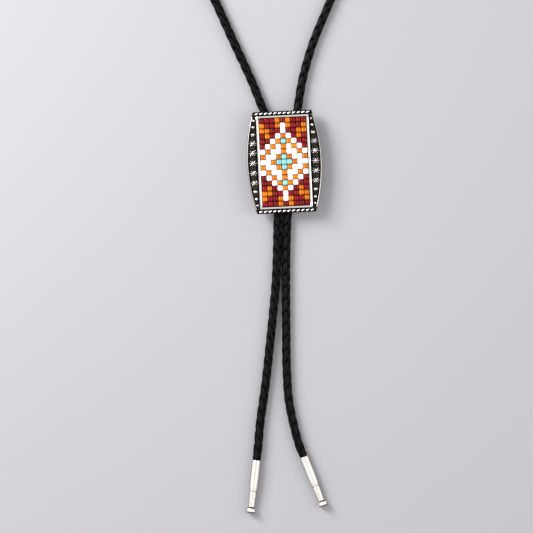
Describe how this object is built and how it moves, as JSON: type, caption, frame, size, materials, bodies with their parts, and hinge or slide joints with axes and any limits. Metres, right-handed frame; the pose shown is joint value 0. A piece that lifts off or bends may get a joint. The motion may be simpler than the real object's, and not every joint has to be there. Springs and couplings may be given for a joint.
{
  "type": "bolo tie",
  "caption": "Braided leather cord necktie with metal tips, held by a sliding barrel-shaped silver slide inlaid with glass beads.",
  "frame": {"origin": "on the surface the tie lies on, under the middle of the slide", "axes": "+Y up the slide towards the neck loop, +Z out of the slide's face"},
  "size_m": [0.111, 0.4179, 0.0117],
  "materials": {
    "slide_silver": "polished silver, oxidised black in the recesses",
    "glass_beads": "glossy glass seed beads in red, orange, white and turquoise",
    "clasp_metal": "plain satin metal",
    "leather_cord": "black four-strand braid, soft gloss",
    "tip_metal": "bright silver-coloured metal"
  },
  "bodies": {
    "root": {"slide_frame": "slide_silver", "bead_panel": "glass_beads", "cord_clasp": "clasp_metal", "cord": "leather_cord", "tip_left": "tip_metal", "tip_right": "tip_metal"}
  },
  "joints": []
}
